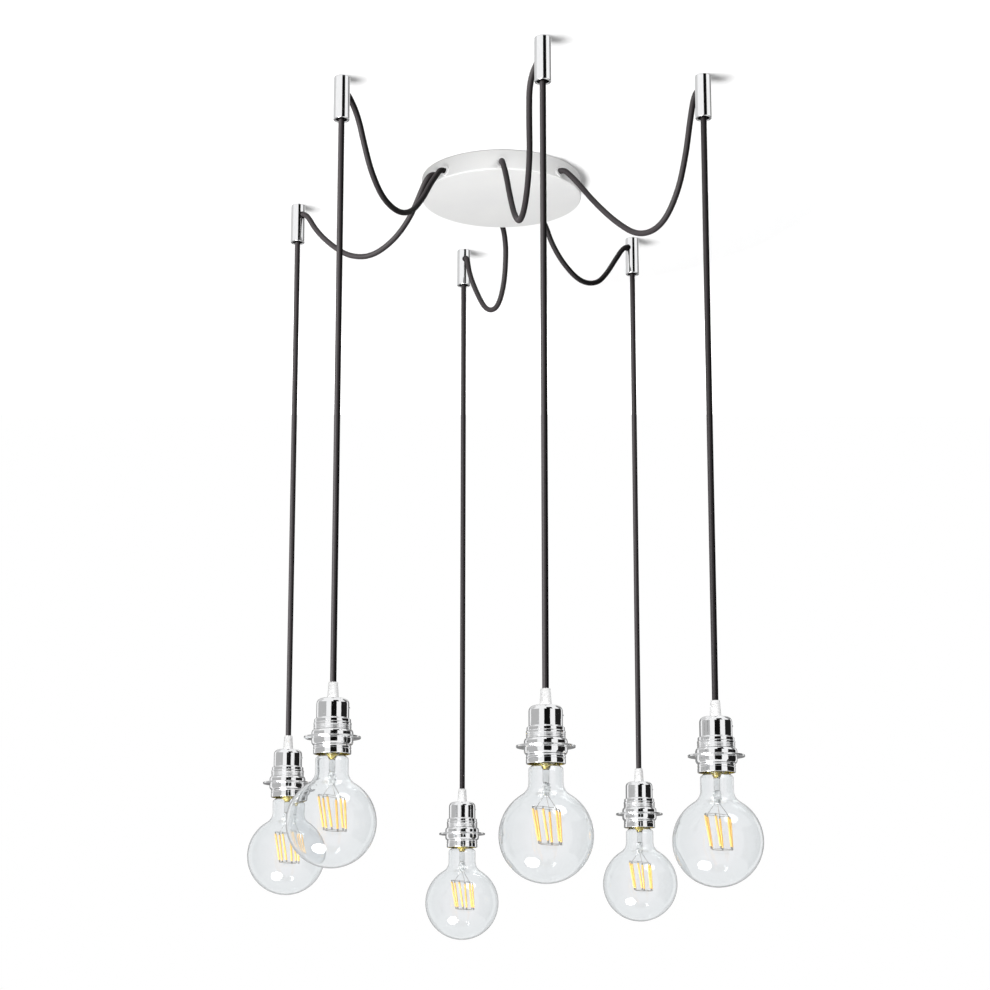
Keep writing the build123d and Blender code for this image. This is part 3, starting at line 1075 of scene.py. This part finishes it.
# Filament sticks between their two clips: radii, and how far each reaches from its wire
filament = {
    "radius": 1.2,
    "rounding": 0.5,
    "fromTop": 2.2,
    "fromFoot": 3.0,
    "topClip": 2.8,
    "topClipR": 0.8,
    "footClip": 3.6,
    "footClipR": 0.95,
}
sticks, clips = [], []
for a, b in zip(tops, feet):
    way = (b - a) / np.linalg.norm(b - a)
    first, last = a + way * filament["fromTop"], b - way * filament["fromFoot"]
    sticks.append(rod(first, last, filament["radius"], 14, rounding=filament["rounding"]))
    clips.append(rod(a, a + way * filament["topClip"], filament["topClipR"], 8, paint=2))
    clips.append(rod(b - way * filament["footClip"], b, filament["footClipR"], 8, paint=2))


# Surfaces of the pieces that every lamp has
capParts = [turned(capLine, 96)] + [part for each in lockScrews for part in lockScrew(*each)]
shellParts = [
    turned(
        barrelLine,
        96,
        thread=[barrel[each] for each in ("threadLow", "threadHigh", "pitch", "depth", "radius")],
        paint=np.where(bare, 1, 0),
    ),
    turned(insertDisc, 64, closed=False, paint=2),
    turned(
        shellTube,
        64,
        thread=(4, 28, lampThread["pitch"], lampThread["shellDepth"], lampThread["shellR"]),
        paint=1,
    ),
]
screwCap = turned(
    np.concatenate([capShell, capInside]),
    72,
    closed=False,
    thread=(3, 22, lampThread["pitch"], lampThread["capDepth"], lampThread["capR"]),
)
mountParts = [turned(stemLine, 48, closed=False), surface(pinch, paint=1)] + mountWires + clips

# Each such piece: its surfaces, its materials, and the body, CAD node and slot it stands for
shared = {
    "holderCap": (capParts, [chrome], "drop", "holder_cap", "chrome"),
    "holderShell": (shellParts, [chrome, brass, ceramic], "drop", "holder_shell", "chrome"),
    "cordGrip": ([turned(gripLine, 48)], [nylon], "drop", "cord_grip", "clear_plastic"),
    "gripScrew": ([gripScrew, gripSlot], [nylon], "drop", "cord_grip", "clear_plastic"),
    "bulbGlass": (
        [turned(glassLine, 128, closed=False)],
        [glass],
        "bulb",
        "bulb_glass",
        "clear_glass",
    ),
    "bulbCap": ([screwCap], [brass], "bulb", "bulb_core", "lamp_cap_metal"),
    "bulbMount": (
        mountParts,
        [clearStem, pinchGlass, nickel],
        "bulb",
        "bulb_core",
        "clear_glass",
    ),
    "filaments": (sticks, [filamentCoat], "bulb", "bulb_core", None),
}
base = {
    label: (meshOf(label, surfaces, materials), body, node, slot)
    for label, (surfaces, materials, body, node, slot) in shared.items()
}
base["ringUpper"] = (baseRings[0], "rings", "shade_rings", "chrome")
base["ringLower"] = (baseRings[1], "rings", "shade_rings", "chrome")
gripPieces = []
for name, (x, y, drop, _) in lamps.items():
    place = Matrix.Translation(np.array([x, y, rimUp - drop]) * mm)
    for label, (mesh, body, node, slot) in base.items():
        title = f"{label}_{name}"
        placed = mesh.copy()
        placed.name = title
        placed.transform(place)
        made = piece(title, placed, f"{body}_{name}", [f"{node}_{name}"])
        if node == "cord_grip":
            gripPieces.append(made)
print("lamps done")


# Camera below the lamp and looking up at it, its tilt in degrees
view = {
    "lens": 76.6,
    "film": 36,
    "shift": 0.09,
    "place": (-0.008, -2.510, -1.003),
    "upwards": 10.94,
}
camera = bpy.data.cameras.new("camera")
camera.lens, camera.sensor_width, camera.shift_y = view["lens"], view["film"], view["shift"]
camera.clip_start, camera.clip_end = 0.1, 50
cameraObject = bpy.data.objects.new("camera", camera)
cameraObject.location = view["place"]
cameraObject.rotation_euler = (radians(90 + view["upwards"]), 0, 0)
scene.collection.objects.link(cameraObject)
scene.camera = cameraObject
scene.view_settings.view_transform = "Standard"

# Studio: white all round, with a pale ceiling and floor that keep the shadows. Powers in watts.
# The ceiling's own glow rises between two distances from the rose's centre, in metres.
studio = {
    "worldLight": 0.28,
    "underPower": 106,
    "frontPower": 90,
    "cordPower": 840,
    "paint": "#f2f2f2",
    "ceilingZ": 0.0005,
    "ceilingGlow": 0.06,
    "ceilingGlowFar": 0.8,
    "glowFrom": 0.42,
    "glowTo": 0.72,
    "floorZ": -2.4,
    "floorGlow": 0.74,
    "flagDistance": 3.2,
    "drumY": -0.1,
    "flagSteps": 13,
}

world = bpy.data.worlds.new("studio")
scene.world = world
world.use_nodes = True
tree = world.node_tree
tree.nodes.clear()
path = add(tree, "ShaderNodeLightPath")
seen = add(
    tree,
    "ShaderNodeMath",
    {0: path.outputs["Is Camera Ray"], 1: path.outputs["Is Glossy Ray"]},
    operation="MAXIMUM",
)
seen = add(
    tree,
    "ShaderNodeMath",
    {0: seen.outputs[0], 1: path.outputs["Is Transmission Ray"]},
    operation="MAXIMUM",
)
strength = add(
    tree,
    "ShaderNodeMapRange",
    {"Value": seen.outputs[0], "To Min": studio["worldLight"], "To Max": 1.0},
)
background = add(
    tree,
    "ShaderNodeBackground",
    {"Color": (1, 1, 1, 1), "Strength": strength.outputs["Result"]},
)
add(tree, "ShaderNodeOutputWorld", {"Surface": background.outputs[0]})


# A flat stage piece from its corners in metres. Their order says which way it faces.
def stagePlane(name, corners, material):
    mesh = bpy.data.meshes.new(name)
    mesh.from_pydata(corners, [], [tuple(range(len(corners)))])
    mesh.materials.append(material)
    made = bpy.data.objects.new(name, mesh)
    scene.collection.objects.link(made)
    return made


# Ceiling paint: matt white seen from below with the shadows on it, and nothing from above.
def ceilingPaint():
    material, tree = newMaterial("ceilingPaint")
    place = add(tree, "ShaderNodeTexCoord")
    far = add(tree, "ShaderNodeVectorMath", {0: place.outputs["Object"]}, operation="LENGTH")
    glow = add(
        tree,
        "ShaderNodeMapRange",
        {
            "Value": far.outputs["Value"],
            "From Min": studio["glowFrom"],
            "From Max": studio["glowTo"],
            "To Min": studio["ceilingGlow"],
            "To Max": studio["ceilingGlowFar"],
        },
    )
    matt = add(tree, "ShaderNodeBsdfDiffuse", {"Color": colour(studio["paint"])})
    light = add(
        tree, "ShaderNodeEmission", {"Color": (1, 1, 1, 1), "Strength": glow.outputs["Result"]}
    )
    both = add(tree, "ShaderNodeAddShader", {0: matt.outputs[0], 1: light.outputs[0]})
    face = add(tree, "ShaderNodeNewGeometry")
    clear = add(tree, "ShaderNodeBsdfTransparent", {"Color": (1, 1, 1, 1)})
    shader = add(
        tree,
        "ShaderNodeMixShader",
        {0: face.outputs["Backfacing"], 1: both.outputs[0], 2: clear.outputs[0]},
    )
    finishMaterial(tree, shader)
    return material


# Floor paint: matt near-white.
def floorPaint():
    material, tree = newMaterial("floorPaint")
    matt = add(tree, "ShaderNodeBsdfDiffuse", {"Color": colour(studio["paint"])})
    light = add(
        tree, "ShaderNodeEmission", {"Color": (1, 1, 1, 1), "Strength": studio["floorGlow"]}
    )
    shader = add(tree, "ShaderNodeAddShader", {0: matt.outputs[0], 1: light.outputs[0]})
    finishMaterial(tree, shader)
    return material


# Black velvet of a flag, or grey board: it only gives off its own grey.
def flagCloth(level):
    material, tree = newMaterial("flagCloth")
    light = add(tree, "ShaderNodeEmission", {"Color": (1, 1, 1, 1), "Strength": level})
    finishMaterial(tree, light)
    return material


ceiling = stagePlane(
    "ceiling",
    [(x, y, studio["ceilingZ"]) for x, y in ((-1.3, -1.1), (-1.3, 1.1), (1.3, 1.1), (1.3, -1.1))],
    ceilingPaint(),
)
floor = stagePlane(
    "floor",
    [(x, y, studio["floorZ"]) for x, y in ((-4, -4), (4, -4), (4, 4), (-4, 4))],
    floorPaint(),
)
for board in (ceiling, floor):
    board.visible_diffuse = board.visible_glossy = board.visible_transmission = False
    board.visible_shadow = False

# Flags that the metal mirrors, as parts of a drum round the object: name, first and last
# azimuth in degrees to the right of the camera side, lowest and highest Z in metres, grey level
flags = (
    ("flagFront", -10, 27, -3.0, 0.62, 0.006),
    ("flagFrontHigh", 4, 46, 0.62, 3.2, 0.006),
    ("flagRight", 60, 122, -3.0, 0.62, 0.015),
    ("flagRightHigh", 100, 150, 0.62, 3.2, 0.25),
    ("flagLeft", -115, -42, -3.0, 0.62, 0.5),
    ("flagLeftHigh", -178, -87, 0.62, 3.2, 0.7),
    ("flagBack", 138, 222, -2.6, 0.62, 0.26),
)
for name, first, last, low, high, level in flags:
    azimuth = np.radians(np.linspace(first, last, studio["flagSteps"]))[None, :]
    z = np.array([low, high])[:, None]
    x = studio["flagDistance"] * np.sin(azimuth) + 0 * z
    y = studio["drumY"] - studio["flagDistance"] * np.cos(azimuth) + 0 * z
    points = np.stack([x, y, z + 0 * azimuth], -1)
    faces = gridFaces(2, studio["flagSteps"], False, False)
    mesh = bpy.data.meshes.new(name)
    mesh.from_pydata(points.reshape(-1, 3).tolist(), [], faces.tolist())
    mesh.materials.append(flagCloth(level))
    flag = bpy.data.objects.new(name, mesh)
    scene.collection.objects.link(flag)
    flag.visible_camera = flag.visible_diffuse = flag.visible_transmission = False
    flag.visible_shadow = False


# Soft box at a place, aimed at a point.
def softBox(name, location, aim, width, height, power):
    light = bpy.data.lights.new(name, "AREA")
    light.shape, light.size, light.size_y, light.energy = "ELLIPSE", width, height, power
    made = bpy.data.objects.new(name, light)
    way = Vector(aim) - Vector(location)
    made.location = location
    made.rotation_euler = way.to_track_quat("-Z", "Y").to_euler()
    scene.collection.objects.link(made)
    return made


# A collection of some pieces, for a light that only they receive or block.
def group(name, pieces):
    made = bpy.data.collections.new(name)
    for each in pieces:
        made.objects.link(each)
    return made


# From below: only the rose and the hooks throw its shadow on the ceiling
underLight = softBox("underLight", (-1.1, -0.75, -3.0), (0, 0, 0), 1.5, 1.1, studio["underPower"])
underLight.light_linking.blocker_collection = group("blockers", rosePieces + hookPieces)

# The cords alone from the left, and the white rose and grips alone from the front: name,
# place, width, height, power, and what the light falls on
for name, place, width, height, power, lit in (
    ("cordLight", (-2.45, -1.75, -0.4), 0.4, 2.2, studio["cordPower"], cordPieces),
    ("frontLight", (0.7, -3.1, -0.3), 3.6, 0.6, studio["frontPower"], rosePieces + gripPieces),
):
    light = softBox(name, place, (0, 0, place[2]), width, height, power)
    light.light_linking.receiver_collection = group(name, lit)
print("studio done")
